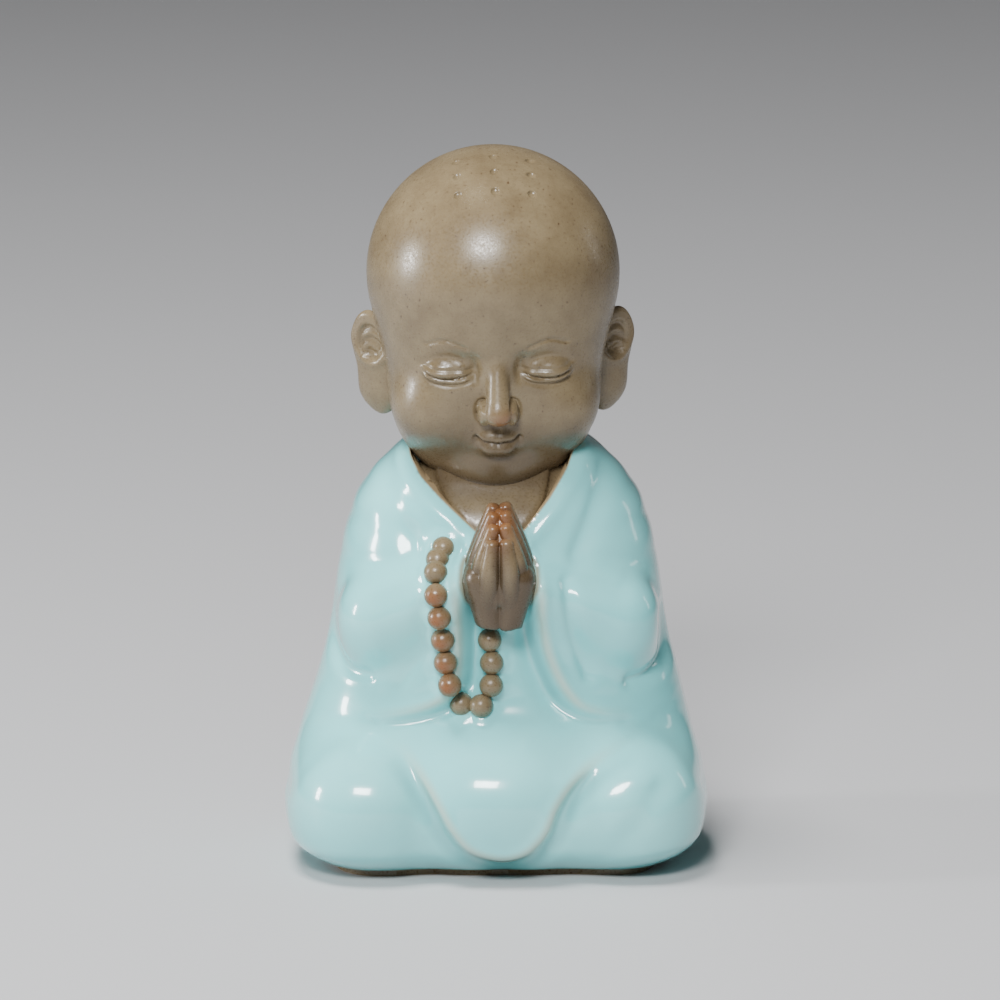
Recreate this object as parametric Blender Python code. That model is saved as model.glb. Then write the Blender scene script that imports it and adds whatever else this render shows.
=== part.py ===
"""Seated child monk in glazed stoneware, hands joined in prayer, with a string of beads.

The figure is one fired body that rests on its flat underside. The origin is the middle of the underside,
+Z is up and the figure faces -Y. Its pose, proportions and carving are laid out in units that end at the
crown of the head, and UNIT turns those units into metres.
"""

import math

import bmesh
import bpy
import numpy as np

# Driving dimensions, in metres
STATUE_HEIGHT = 0.150
BEAD_DIAMETER = 0.0050
FOOT_HEIGHT = 0.0011
FOOT_INSET = 0.0009
COLLAR_STEP = 0.0013
DIMPLE_DIAMETER = 0.0019
DIMPLE_DEPTH = 0.0005

# The layout of the figure, in units: the crown of the cranium is as high as the statue
HEAD_CENTRE = np.array([-0.6, -3.0, 123.7])
CRANIUM_RADIUS = 26.3
UNIT = STATUE_HEIGHT / (HEAD_CENTRE[2] + CRANIUM_RADIUS)
HEAD_BOW = math.radians(15.0)
HEAD_TURN = math.radians(2.2)
COLLAR_OUTLINE = ((0.8, 68.2), (-11.4, 78.9), (-15.6, 82.9), (-17.6, 86.0), (-18.8, 90.0), (-19.4, 97.0),
                  (18.0, 97.0), (17.0, 90.0), (14.6, 84.4), (11.0, 78.9), (6.2, 73.2))
COLLAR_FRONT = -45.0
COLLAR_BACK = -2.0
ROBE_TOP = 91.5
NECK_HEIGHT = 80.0
NECK_DEPTH = 4.5
HAND_CENTRE = np.array([0.7, -27.6, 66.0])
WRIST_HEIGHT = 53.2
# The right hand stands this much above the middle and the left one this much below
HAND_SHIFT = 0.11

# Facets round and up each form
ROBE_FACETS = (58, 30)
HEAD_FACETS = (42, 26)
FOOT_FACETS = (51, 5)
CHEST_FACETS = (23, 8)
EAR_FACETS = (15, 10)
HAND_FACETS = (16, 12)
FINGER_FACETS = (8, 7)
BEAD_FACETS = (8, 6)
DIMPLE_FACETS = (8, 6)

# How strongly the facets crowd to the front, where the carving is
ROBE_CROWDING = 0.45
HEAD_CROWDING = 0.42
HAND_CROWDING = 0.30

GLAZE = {"name": "celadon_glaze", "colour": (0.36, 0.65, 0.64, 1.0), "roughness": 0.08}
CLAY = {"name": "bare_clay", "colour": (0.33, 0.25, 0.16, 1.0), "roughness": 0.45}


# Fields: each takes points as rows of x, y, z and is negative inside its form

def smooth_union(a, b, blend):
    """Joins two fields with a fillet about as wide as blend."""
    share = np.clip(0.5 + 0.5 * (b - a) / blend, 0.0, 1.0)
    return b + (a - b) * share - blend * share * (1.0 - share)


def ellipsoid(points, centre, radii, power=2.0):
    """An ellipsoid, or a boxier one where power is above 2."""
    radii = np.array(radii)
    ratio = np.abs((points - np.array(centre)) / radii)
    return ((ratio ** power).sum(axis=1) ** (1.0 / power) - 1.0) * radii.min()


def limb(points, start, end, start_radius, end_radius):
    """A tapered rod with round ends."""
    start = np.array(start)
    axis = np.array(end) - start
    along = np.clip((points - start) @ axis / (axis @ axis), 0.0, 1.0)
    away = np.linalg.norm(points - start - along[:, None] * axis, axis=1)
    return away - (start_radius + (end_radius - start_radius) * along)


def step(value, width):
    """Rises smoothly from 0 to 1 as value goes from -width to width."""
    share = np.clip(0.5 + 0.5 * value / width, 0.0, 1.0)
    return share * share * (3.0 - 2.0 * share)


def bump(distance, width):
    """A soft ridge, 1 where distance is 0."""
    return np.exp(-(distance / width) ** 2)


def profile(at, places, values):
    """A smooth curve through a few values, level with its end values outside them."""
    places = np.array(places)
    values = np.array(values)
    slopes = np.gradient(values, places)
    at = np.clip(at, places[0], places[-1])
    index = np.clip(np.searchsorted(places, at) - 1, 0, len(places) - 2)
    gap = places[index + 1] - places[index]
    share = (at - places[index]) / gap
    low = values[index] + slopes[index] * gap * share
    high = values[index + 1] - slopes[index + 1] * gap * (1.0 - share)
    weight = share * share * (3.0 - 2.0 * share)
    return low + (high - low) * weight


def smooth_path(points, steps=12):
    """A curve through a few points, as a fine polyline."""
    points = np.array(points)
    padded = np.vstack([2 * points[0] - points[1], points, 2 * points[-1] - points[-2]])
    share = np.linspace(0.0, 1.0, steps, endpoint=False)[:, None]
    pieces = []
    for before, start, end, after in zip(padded, padded[1:], padded[2:], padded[3:]):
        pieces.append(0.5 * (2 * start + (end - before) * share
                             + (2 * before - 5 * start + 4 * end - after) * share ** 2
                             + (3 * start - before - 3 * end + after) * share ** 3))
    return np.vstack(pieces + [points[-1:]])


def beside(x, z, path):
    """Distance from a path in the front view, above zero on its right hand."""
    path = smooth_path(path)
    best = np.full(x.shape, np.inf)
    side = np.ones(x.shape)
    for start, end in zip(path[:-1], path[1:]):
        run = end - start
        rel_x = x - start[0]
        rel_z = z - start[1]
        share = np.clip((rel_x * run[0] + rel_z * run[1]) / (run @ run), 0.0, 1.0)
        away = np.hypot(rel_x - share * run[0], rel_z - share * run[1])
        nearer = away < best
        best = np.where(nearer, away, best)
        side = np.where(nearer, np.sign(rel_x * run[1] - rel_z * run[0]), side)
    return best * np.where(side == 0, 1.0, side)


def cast(origins, directions, field, reach):
    """Where rays that start inside a form leave it."""
    near = np.zeros(len(origins))
    far = np.full(len(origins), reach)
    for _ in range(26):
        middle = 0.5 * (near + far)
        inside = field(origins + middle[:, None] * directions) < 0.0
        near = np.where(inside, middle, near)
        far = np.where(inside, far, middle)
    return origins + near[:, None] * directions


# The robe

# The torso stands this far to the right of the knees
ROBE_LEAN = 0.5

ROBE_HEIGHTS = (0, 8, 16, 24, 32, 40, 48, 56, 64, 72, 79, 84, 88, 92)
ROBE_HALF_WIDTHS = (37.6, 41.8, 43.0, 41.7, 39.6, 37.4, 35.5, 34.3, 33.0, 31.0, 27.7, 23.4, 18.9, 13.3)
ROBE_FRONTS = (31, 33, 33, 30, 26.4, 25.2, 25.0, 25.0, 24.2, 22.4, 20.0, 17.4, 14.4, 10.5)
ROBE_BACKS = (30, 31.5, 32.0, 31.4, 30.2, 29.0, 27.5, 26.2, 24.6, 23.0, 20.6, 18.2, 15.6, 12.0)

LEFT_HEM = ((-8.2, 66.0), (-7.4, 58.8), (-7.0, 48.0), (-7.9, 40.5), (-11.7, 35.9), (-21.0, 33.0),
            (-32.0, 32.0))
RIGHT_HEM = ((8.4, 68.0), (8.5, 61.5), (8.9, 52.5), (11.1, 44.0), (16.0, 36.0), (22.0, 33.3), (32.0, 32.4))
DRAPE_EDGE = ((-25.0, 32.0), (-20.4, 28.4), (-15.9, 22.6), (-12.3, 16.8), (-9.2, 11.4), (-5.2, 7.2),
              (1.2, 5.2), (6.6, 6.8), (10.7, 11.2), (13.0, 16.6), (16.4, 21.2), (20.8, 25.2), (26.0, 28.4))
LEFT_KNEE_CREASE = ((-44.5, 16.5), (-40.5, 23.0), (-34.5, 28.0), (-26.0, 31.0))
RIGHT_KNEE_CREASE = ((27.0, 31.6), (35.5, 28.8), (40.0, 24.6), (44.5, 17.5))


def robe_field(points):
    """The smooth mass of the robe: torso, upper arms, knees and lap."""
    points = points - np.outer(ROBE_LEAN * step(points[:, 2] - 32.0, 8.0), (1.0, 0.0, 0.0))
    x, y, z = points.T
    half_width = profile(z, ROBE_HEIGHTS, ROBE_HALF_WIDTHS)
    front = profile(z, ROBE_HEIGHTS, ROBE_FRONTS)
    back = profile(z, ROBE_HEIGHTS, ROBE_BACKS)
    depth = np.where(y < 0.0, front, back)
    power = 2.45
    ratio = ((np.abs(x) / half_width) ** power + (np.abs(y) / depth) ** power) ** (1.0 / power)
    mass = (ratio - 1.0) * np.minimum(half_width, depth)
    for side, forward in ((-1.0, 0.7), (1.0, -0.5)):
        knee = ellipsoid(points, (26.6 * side, -13.0 - forward, 13.6), (17.4, 23.6, 16.6), 2.3)
        mass = smooth_union(mass, knee, 3.5)
        elbow = ellipsoid(points, (26.0 * side, -12.0, 50.0), (7.6, 11.0, 9.0))
        mass = smooth_union(mass, elbow, 3.0)
        forearm = limb(points, (24.0 * side, -17.0, 54.0), (9.0 * side, -22.0, 59.5), 8.6, 6.6)
        mass = smooth_union(mass, forearm, 4.0)
    lap = ellipsoid(points, (0.5, -13.0, 15.0), (24.0, 24.4, 18.0), 2.2)
    return smooth_union(mass, lap, 3.0)


def belly_gap_at(x, z):
    """Distance inside the gap between the two sleeve hems, seen from the front."""
    return np.minimum(-beside(x, z, LEFT_HEM), beside(x, z, RIGHT_HEM))


def robe_relief(points):
    """How far the carving stands out of the robe's mass, or sinks into it."""
    x, y, z = points.T
    front = step(-y - 4.0, 6.0)
    belly_gap = belly_gap_at(x, z)
    above_lap = step(z - 33.0, 5.0) * step(25.0 - np.abs(x), 5.0)
    under_hands = step(60.0 - z, 5.0)
    sunk = 1.7 + 2.2 * bump(belly_gap - 1.8, 3.0)
    relief = -sunk * step(belly_gap - 0.4, 1.5) * above_lap * under_hands
    relief += 0.6 * bump(belly_gap + 1.3, 1.6) * above_lap * step(66.0 - z, 4.0)
    below_drape = beside(x, z, DRAPE_EDGE)
    low = step(27.0 - z, 7.0)
    relief += 1.4 * step(-below_drape, 1.5) * step(30.0 - z, 8.0)
    relief -= 1.1 * bump(below_drape - 2.0, 2.0) * low
    for crease in (LEFT_KNEE_CREASE, RIGHT_KNEE_CREASE):
        relief -= 0.8 * bump(beside(x, z, crease), 1.6)
    for fold, depth, width in SLEEVE_FOLDS:
        relief -= depth * bump(beside(x, z, fold), width)
    relief -= 1.1 * bump(x + 18.0, 2.6) * bump(z - 70.0, 4.0)
    return relief * front


LEFT_ELBOW = ((-35.5, 56.0), (-34.4, 47.0), (-31.5, 42.4), (-27.0, 41.4))
RIGHT_ELBOW = ((36.0, 53.0), (35.8, 44.5), (32.5, 41.0), (28.5, 40.2))

# Folds in the sleeves: route in the front view, depth and width, with raised ones below zero
SLEEVE_FOLDS = (
    (LEFT_ELBOW, 1.3, 1.5),
    (RIGHT_ELBOW, 1.7, 1.6),
    (((-24.5, 61.0), (-15.0, 65.0)), -0.7, 2.0),
    (((8.2, 67.6), (16.0, 65.6), (25.0, 62.6)), -0.6, 1.8),
    (((8.6, 65.4), (16.0, 63.2), (26.0, 60.0)), 0.7, 1.6),
    (((15.0, 62.0), (16.4, 52.0), (19.5, 42.0)), 1.1, 1.6),
    (((23.6, 84.0), (20.4, 75.0), (16.8, 67.0)), 1.2, 2.2),
    (((-24.0, 83.0), (-21.0, 74.0), (-17.0, 66.0)), 0.8, 2.4),
)


def inside_collar(points):
    """Distance inside the open neck of the robe, seen from the front."""
    x, y, z = points.T
    inside = np.full(len(x), np.inf)
    for start, end in zip(COLLAR_OUTLINE, COLLAR_OUTLINE[1:] + COLLAR_OUTLINE[:1]):
        run = np.array(end) - np.array(start)
        away = ((x - start[0]) * run[1] - (z - start[1]) * run[0]) / np.hypot(*run)
        inside = np.minimum(inside, away)
    return inside


def robe_skin(x_shares, y_shares, heights):
    """Points on the robe's outside, for directions round the axis and heights."""
    directions = np.column_stack([x_shares, y_shares, np.zeros(len(heights))])
    origins = np.column_stack([np.zeros(len(heights)), np.zeros(len(heights)), heights])
    return cast(origins, directions, robe_field, 60.0), directions


def crowd(angles, amount):
    """Moves angles from the front closer to it, so that facets crowd there."""
    return angles - amount * np.sin(angles)


def sphere_mesh(name, facets, place):
    """A UV sphere whose vertices place() moves: it takes angles from the front and shares from the base."""
    around, up = facets
    shape = bmesh.new()
    bmesh.ops.create_uvsphere(shape, u_segments=around, v_segments=up, radius=1.0)
    verts = list(shape.verts)
    unit = np.array([vert.co for vert in verts], dtype=float)
    angles = np.arctan2(unit[:, 0], -unit[:, 1])
    shares = np.arccos(np.clip(-unit[:, 2], -1.0, 1.0)) / math.pi
    rows = np.rint(shares * up).astype(int)
    for vert, spot in zip(verts, place(angles, rows, up) * UNIT):
        vert.co = spot
    bmesh.ops.recalc_face_normals(shape, faces=list(shape.faces))
    if shape.calc_volume(signed=True) < 0.0:
        bmesh.ops.reverse_faces(shape, faces=list(shape.faces))
    mesh = bpy.data.meshes.new(name)
    shape.to_mesh(mesh)
    shape.free()
    return mesh


def layered_form(skin, levels, crowding):
    """Places rows on a form by level: each level is a height and how wide it is drawn."""
    def place(angles, rows, up):
        turned = crowd(angles, crowding)
        heights = np.array([levels(row / up)[0] for row in range(up + 1)])[rows]
        widths = np.array([levels(row / up)[1] for row in range(up + 1)])[rows]
        spots = skin(np.sin(turned), -np.cos(turned), heights)
        spots[:, :2] *= widths[:, None]
        return spots
    return place


def robe_levels(share):
    """The robe from the middle of its underside, out over the foot and up to the neck."""
    low = FOOT_HEIGHT / UNIT
    flat, top = 0.055, 0.972
    if share < flat:
        return low, 0.97 * share / flat
    if share > top:
        return ROBE_TOP, 0.9 * (1.0 - share) / (1.0 - top)
    climb = (share - flat) / (top - flat)
    return low + (ROBE_TOP - low) * (climb * 0.72 + 0.28 * climb ** 2), 1.0


def robe_outside(x_shares, y_shares, heights):
    """The carved robe, drawn in under the knees."""
    spots, directions = robe_skin(x_shares, y_shares, heights)
    tuck = 5.0 * (1.0 - np.clip((heights - FOOT_HEIGHT / UNIT) / 7.0, 0.0, 1.0)) ** 2.2
    return spots + directions * (robe_relief(spots) - tuck)[:, None]


def foot_outside(x_shares, y_shares, heights):
    """The bare ring under the glaze, set in from the robe's lowest edge."""
    lowest = np.full(len(heights), FOOT_HEIGHT / UNIT)
    spots = robe_outside(x_shares, y_shares, lowest)
    spots -= np.column_stack([x_shares, y_shares, np.zeros(len(heights))]) * FOOT_INSET / UNIT
    spots[:, 2] = heights
    return spots


def foot_levels(share):
    """A thin slab that reaches up inside the robe."""
    top = 3.0 * FOOT_HEIGHT / UNIT
    if share < 0.5:
        return 0.0, share / 0.4
    return top, (1.0 - share) / 0.4


def chest_outside(x_shares, y_shares, heights):
    """Chest a collar step under the robe's mass, deeper up at the neck and where the robe covers it."""
    spots, directions = robe_skin(x_shares, y_shares, np.minimum(heights, ROBE_TOP))
    spots[:, 2] = heights
    sunk = NECK_DEPTH * step(heights - NECK_HEIGHT, 5.0) + 3.0 * step(-1.5 - inside_collar(spots), 1.5)
    return spots - directions * (COLLAR_STEP / UNIT + sunk)[:, None]


def chest_levels(share):
    """From inside the belly up into the jaw."""
    if share < 0.12:
        return 62.0, share / 0.12
    if share > 0.88:
        return 93.0, (1.0 - share) / 0.12 * 0.8
    return 62.0 + 31.0 * (share - 0.12) / 0.76, 1.0 - 0.2 * step(share - 0.82, 0.08)


# The head, laid out in its own frame: origin in the middle of the cranium, face to -Y

def head_axes():
    """The bowed and slightly turned head's own directions, as rows."""
    bow = np.array([[1.0, 0.0, 0.0],
                    [0.0, math.cos(HEAD_BOW), math.sin(HEAD_BOW)],
                    [0.0, -math.sin(HEAD_BOW), math.cos(HEAD_BOW)]])
    turn = np.array([[math.cos(HEAD_TURN), math.sin(HEAD_TURN), 0.0],
                     [-math.sin(HEAD_TURN), math.cos(HEAD_TURN), 0.0],
                     [0.0, 0.0, 1.0]])
    return turn @ bow


def from_head(points):
    """Turns points in the head's frame into the figure's frame."""
    return points @ head_axes() + HEAD_CENTRE


def head_field(points):
    """Cranium, full cheeks, closed eyes, nose, lips and chin."""
    skull = ellipsoid(points, (0, 0, 0), (CRANIUM_RADIUS, CRANIUM_RADIUS, CRANIUM_RADIUS))
    face = ellipsoid(points, (0, -5.2, -19.2), (22.4, 20.4, 24.8), 2.35)
    shape = smooth_union(skull, face, 5.0)
    for side in (-1.0, 1.0):
        cheek = ellipsoid(points, (11.5 * side, -16.5, -22.5), (9.0, 8.6, 8.6))
        shape = smooth_union(shape, cheek, 4.0)
        eye = ellipsoid(points, (10.5 * side, -20.9, -12.3), (4.9, 5.0, 3.2))
        shape = smooth_union(shape, eye, 0.5)
        wing = ellipsoid(points, (2.95 * side, -26.6, -19.8), (1.4, 2.5, 2.5))
        shape = smooth_union(shape, wing, 0.4)
    bridge = limb(points, (0, -23.6, -8.0), (0, -28.3, -17.6), 1.9, 2.5)
    shape = smooth_union(shape, bridge, 1.2)
    tip = ellipsoid(points, (0, -28.4, -18.9), (2.9, 3.2, 2.7))
    shape = smooth_union(shape, tip, 0.8)
    muzzle = ellipsoid(points, (0, -22.5, -26.6), (5.2, 4.4, 4.4))
    shape = smooth_union(shape, muzzle, 2.5)
    chin = ellipsoid(points, (0, -19.4, -34.4), (8.5, 5.3, 5.3))
    shape = smooth_union(shape, chin, 3.0)
    upper_lip = ellipsoid(points, (0, -25.9, -25.6), (3.6, 1.9, 1.1))
    lower_lip = ellipsoid(points, (0, -24.9, -28.3), (3.4, 2.7, 1.8), 2.6)
    shape = smooth_union(shape, upper_lip, 1.0)
    return smooth_union(shape, lower_lip, 0.4)


MOUTH = ((0.0, -27.2), (1.0, -26.8), (2.3, -26.7), (3.9, -26.4))
EYE_SLIT = ((5.8, -13.8), (8.3, -13.5), (10.6, -13.1), (13.0, -13.2), (15.1, -13.5))


def head_relief(points):
    """Eye sockets, the line under the lids and the mouth."""
    x, y, z = points.T
    front = step(-y - 6.0, 4.0)
    side_x = np.abs(x)
    relief = -1.1 * bump(side_x - 7.6, 4.2) * bump(z + 8.6, 2.2)
    relief -= 1.5 * bump(side_x - 4.9, 1.8) * bump(z + 11.2, 2.8)
    relief -= 0.6 * bump(beside(side_x, z, EYE_SLIT), 1.0)
    relief -= 0.8 * bump(beside(side_x, z, MOUTH), 0.8)
    relief -= 0.5 * bump(z + 30.9, 1.1) * bump(side_x, 3.0)
    return relief * front


def dimple_cutters():
    """Spheres that each press one of nine round marks into the crown, in three rows."""
    half_width = 0.5 * DIMPLE_DIAMETER / UNIT
    depth = DIMPLE_DEPTH / UNIT
    radius = (half_width ** 2 + depth ** 2) / (2.0 * depth)
    centres = []
    for row_angle in (64.0, 76.5, 89.0):
        for column in (-7.6, 0.0, 7.6):
            turn = math.radians(row_angle)
            reach = math.sqrt(CRANIUM_RADIUS ** 2 - column ** 2)
            crown = np.array([column, -reach * math.cos(turn), reach * math.sin(turn)])
            centres.append(crown * (CRANIUM_RADIUS + radius - depth) / CRANIUM_RADIUS)
    return radius * UNIT, from_head(np.array(centres))


def place_head(angles, rows, up):
    """Rows of the head, closer together over the face."""
    turned = crowd(angles, HEAD_CROWDING)
    share = rows / up
    polar = math.pi * (share + 0.045 * np.sin(2.0 * math.pi * share))
    level = np.sin(polar)
    directions = np.column_stack([np.sin(turned) * level, -np.cos(turned) * level, -np.cos(polar)])
    origins = np.tile(np.array([0.0, -4.0, -10.0]), (len(angles), 1))
    spots = cast(origins, directions, head_field, 60.0)
    return from_head(spots + directions * head_relief(spots)[:, None])


EAR_CENTRE = (24.5, -0.4, -20.4)
EAR_HALF_HEIGHT = 11.4
EAR_FLARE = math.radians(56.0)


def place_ear(side):
    """A long ear flared away from the head, with a hollow inside its rim and a full lobe."""
    def place(angles, rows, up):
        polar = math.pi * rows / up
        along = -np.cos(polar)
        across = np.sin(polar) * np.sin(angles)
        outward = -np.sin(polar) * np.cos(angles)
        width = 4.9 + 0.9 * step(along - 0.1, 0.5) - 0.4 * bump(along + 0.1, 0.25)
        width += 1.3 * bump(along + 0.78, 0.3)
        leaf_x = across * width
        leaf_z = along * EAR_HALF_HEIGHT
        hollow = bump(across + 0.05, 0.45) * bump(along - 0.38, 0.42)
        lobe = 0.9 * bump(leaf_z + 7.2, 4.2)
        thick = np.where(outward < 0.0, -outward * (2.1 + lobe - 1.6 * hollow), -outward * 1.7)
        x = leaf_x * math.sin(EAR_FLARE) + thick * math.cos(EAR_FLARE)
        y = leaf_x * math.cos(EAR_FLARE) - thick * math.sin(EAR_FLARE)
        spots = np.column_stack([x + 0.09 * leaf_z, y + 0.10 * leaf_z, leaf_z]) + np.array(EAR_CENTRE)
        spots[:, 0] *= side
        return from_head(spots)
    return place


# Hands and beads

def hand_field(points):
    """The heels of both hands, palm to palm, cut flat at the wrists."""
    x, y, z = points.T
    mirrored = np.column_stack([np.abs(x - HAND_CENTRE[0]), y, z])
    heel = limb(mirrored, (3.5, -27.7, 63.4), (1.4, -28.0, 52.4), 4.1, 2.9)
    core = limb(mirrored, (0.0, -27.5, 55.0), (0.0, -28.4, 73.0), 2.9, 1.8)
    return np.maximum(smooth_union(heel, core, 0.8), WRIST_HEIGHT + 0.12 * np.abs(x - 2.0) - z)


def place_hands(angles, rows, up):
    """Rows up the joined heels of the hands, with the seam between them."""
    turned = crowd(angles, HAND_CROWDING)
    polar = math.pi * rows / up
    directions = np.column_stack([7.0 * np.sin(turned) * np.sin(polar), -6.0 * np.cos(turned) * np.sin(polar),
                                  -11.0 * np.cos(polar)])
    directions /= np.linalg.norm(directions, axis=1)[:, None]
    origins = np.tile(HAND_CENTRE - np.array([0.0, 0.0, 3.0]), (len(angles), 1))
    spots = cast(origins, directions, hand_field, 30.0)
    seam = 0.5 * bump(spots[:, 0] - HAND_CENTRE[0], 0.45) * step(-spots[:, 1] - 28.0, 1.5)
    return spots - directions * seam[:, None]


# Routes of the fingers of one hand, from the middle plane, and radii along each from palm to tip
FINGERS = (
    ((2.3, -29.0, 59.4), (2.1, -31.0, 65.4), (1.5, -31.2, 71.2)),
    ((4.4, -27.6, 60.6), (3.2, -29.6, 68.2), (1.4, -29.7, 74.2)),
    ((5.3, -25.6, 62.6), (3.4, -27.7, 70.4), (1.38, -28.0, 76.5)),
    ((5.3, -23.6, 64.0), (3.2, -25.4, 72.2), (1.36, -26.2, 77.9)),
)
FINGER_RADII = (2.7, 2.5, 2.2, 1.85, 1.55)
FINGERTIP_POWER = 2.6


def rod(route, radii):
    """Places rows along a rod with round ends that follows a smooth route."""
    route = smooth_path(route, 8)
    lengths = np.concatenate([[0.0], np.cumsum(np.linalg.norm(np.diff(route, axis=0), axis=1))])
    ahead = np.gradient(route, lengths, axis=0)

    def place(angles, rows, up):
        share = 0.5 * (1.0 - np.cos(math.pi * rows / up))
        run = -radii[0] + share * (lengths[-1] + radii[0] + radii[-1])
        inner = np.clip(run, 0.0, lengths[-1])
        past = run - inner
        radius = np.interp(inner, np.linspace(0.0, lengths[-1], len(radii)), radii)
        power = FINGERTIP_POWER
        reach = np.maximum(radius ** power - np.abs(past) ** power, 0.0) ** (1.0 / power)
        centre = np.column_stack([np.interp(inner, lengths, route[:, axis]) for axis in range(3)])
        tangent = np.column_stack([np.interp(inner, lengths, ahead[:, axis]) for axis in range(3)])
        tangent /= np.linalg.norm(tangent, axis=1)[:, None]
        across = np.cross(tangent, np.array([0.0, -1.0, 0.0]))
        across /= np.linalg.norm(across, axis=1)[:, None]
        forward = np.cross(across, tangent)
        return (centre + past[:, None] * tangent + (reach * np.sin(angles))[:, None] * across
                + (reach * np.cos(angles))[:, None] * forward)
    return place


# Beads stand this share of their diameter apart, and sink this share of their radius into the robe
BEAD_SPACING = 0.965
BEAD_SINK = 0.38

BEAD_STRING = ((-10.8, 69.0), (-12.2, 66.4), (-12.5, 62.0), (-11.8, 56.5), (-11.0, 50.2), (-10.3, 44.6),
               (-9.2, 39.8), (-7.5, 36.4), (-5.4, 35.2), (-3.0, 36.2), (-1.0, 40.4), (-0.9, 45.3), (-1.4, 51.0))
BEAD_COUNT = 13
TUCKED_BEADS = 2
TUCKED_SPACING = 2.55

# Along the string, a step forward counts this share of a step up
VIEW_SLOPE = math.tan(math.radians(12.0))


def carved_robe_field(points):
    """The robe with its carving, for laying the beads on it."""
    return robe_field(points) - robe_relief(points)


def bead_centres():
    """Beads side by side along the string that lies on the robe, the first ones tucked under the next."""
    diameter = BEAD_DIAMETER / UNIT
    route = smooth_path(BEAD_STRING, 8)
    origins = np.column_stack([route[:, 0], np.full(len(route), -8.0), route[:, 1]])
    path = cast(origins, np.tile([0.0, -1.0, 0.0], (len(route), 1)), carved_robe_field, 40.0)
    seen = np.column_stack([path[:, 0], path[:, 2] + VIEW_SLOPE * path[:, 1]])
    lengths = np.concatenate([[0.0], np.cumsum(np.linalg.norm(np.diff(seen, axis=0), axis=1))])
    numbers = np.arange(BEAD_COUNT)
    tucked = np.minimum(numbers, TUCKED_BEADS)
    stops = TUCKED_SPACING * tucked + BEAD_SPACING * diameter * (numbers - tucked)
    centres = np.column_stack([np.interp(stops, lengths, path[:, axis]) for axis in range(3)])
    centres[:, 1] -= 0.5 * diameter * (1.0 - BEAD_SINK - 0.35 * (TUCKED_BEADS - tucked))
    return centres


# Building

def clay_material(spec):
    """A fired surface with one colour, roughness and no metal."""
    material = bpy.data.materials.new(spec["name"])
    material.use_nodes = True
    shader = material.node_tree.nodes["Principled BSDF"]
    shader.inputs["Base Color"].default_value = spec["colour"]
    shader.inputs["Roughness"].default_value = spec["roughness"]
    shader.inputs["Metallic"].default_value = 0.0
    return material


def add_object(name, mesh, material, collection):
    """Puts a mesh in the scene with its material."""
    mesh.materials.append(material)
    mesh.shade_smooth()
    item = bpy.data.objects.new(name, mesh)
    collection.objects.link(item)
    return item


def combine(target, item, operation, solver="EXACT"):
    """Joins a form to the statue, or cuts it away, and keeps the form as a wire guide."""
    item.hide_render = True
    item.display_type = "WIRE"
    change = target.modifiers.new(operation.lower() + "_" + item.name, "BOOLEAN")
    change.operation = operation
    change.solver = solver
    change.object = item
    change.material_mode = "TRANSFER"


def ball(name, facets, radius, centre):
    """A small faceted ball about a point of the layout."""
    shape = bmesh.new()
    bmesh.ops.create_uvsphere(shape, u_segments=facets[0], v_segments=facets[1], radius=radius)
    bmesh.ops.translate(shape, verts=list(shape.verts), vec=[value * UNIT for value in centre])
    mesh = bpy.data.meshes.new(name)
    shape.to_mesh(mesh)
    shape.free()
    return mesh


def collar_cutter():
    """A prism with the outline of the open collar, in front of the neck."""
    shape = bmesh.new()
    sides = len(COLLAR_OUTLINE)
    bmesh.ops.create_cone(shape, cap_ends=True, segments=sides, radius1=1.0, radius2=1.0, depth=2.0)
    for vert in shape.verts:
        turn = math.atan2(vert.co.y, vert.co.x) / (2.0 * math.pi)
        x, z = COLLAR_OUTLINE[round(turn * sides) % sides]
        y = COLLAR_BACK if vert.co.z > 0.0 else COLLAR_FRONT
        vert.co = [value * UNIT for value in (x, y, z)]
    bmesh.ops.recalc_face_normals(shape, faces=list(shape.faces))
    mesh = bpy.data.meshes.new("collar_opening")
    shape.to_mesh(mesh)
    shape.free()
    return mesh


def new_collection(name):
    """A collection in the scene."""
    collection = bpy.data.collections.new(name)
    bpy.context.scene.collection.children.link(collection)
    return collection


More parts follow.
